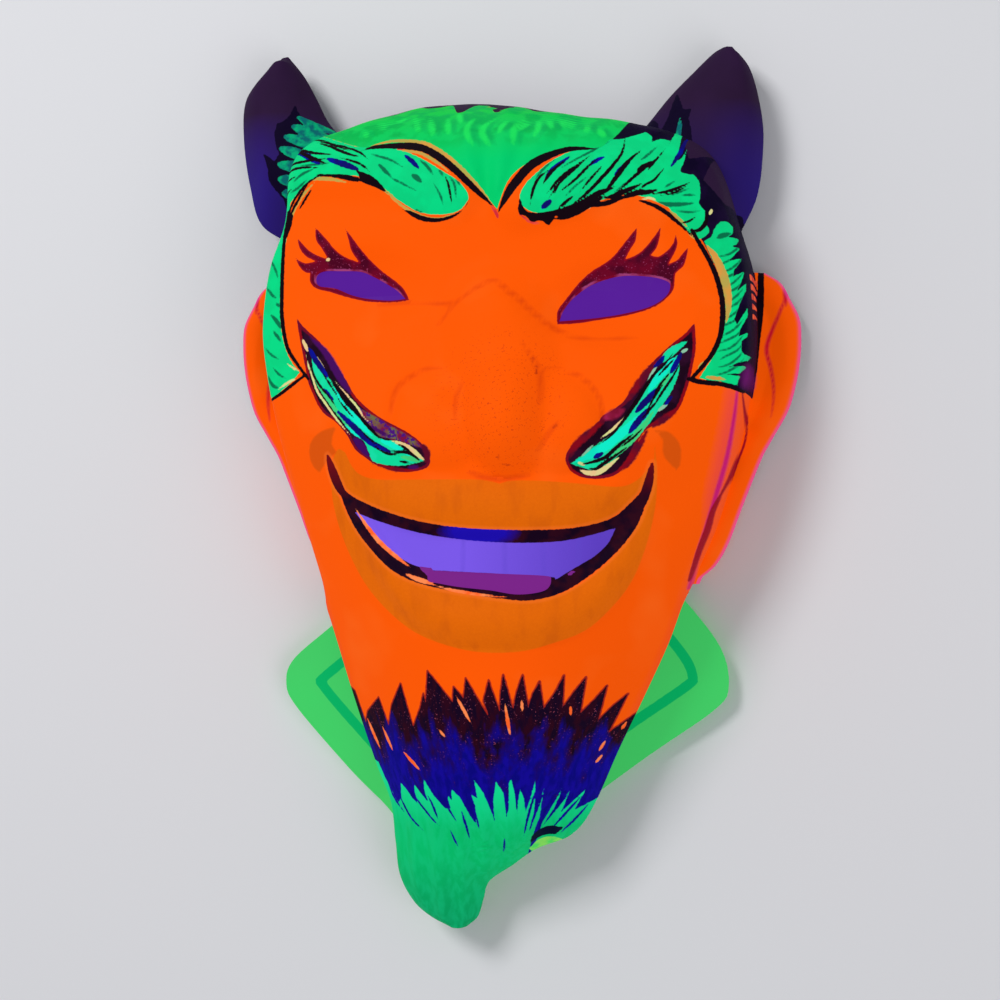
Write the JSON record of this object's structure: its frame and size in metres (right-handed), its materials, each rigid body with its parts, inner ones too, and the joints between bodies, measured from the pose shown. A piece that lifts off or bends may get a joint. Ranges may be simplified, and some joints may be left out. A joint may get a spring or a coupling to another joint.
{
  "type": "devil face mask",
  "caption": "Hollow devil face mask of moulded plastic sheet with grinning mouth, horns, flared ears, pointed goatee and a collar, lying on its back rim.",
  "frame": {"origin": "middle of the mask's box on the plane that its back rim rests on", "axes": "+X to the viewer's right of the face, +Y to the crown and horns, +Z out of the face; the mask lies on its back"},
  "size_m": [0.208, 0.321, 0.0842],
  "materials": {
    "painted_face": "moulded sheet painted in flat fluorescent orange, with green hair and dark brush lines",
    "horn_plastic": "moulded sheet painted dark purple, with black brush tufts at the base",
    "collar_sheet": "flat cut sheet painted fluorescent green, with a darker green stripe",
    "window_film": "thin violet plastic film"
  },
  "bodies": {
    "root": {"mask_shell": "painted_face", "horn_left": "horn_plastic", "horn_right": "horn_plastic", "collar": "collar_sheet", "eye_film_left": "window_film", "eye_film_right": "window_film", "mouth_film": "window_film"}
  },
  "joints": []
}
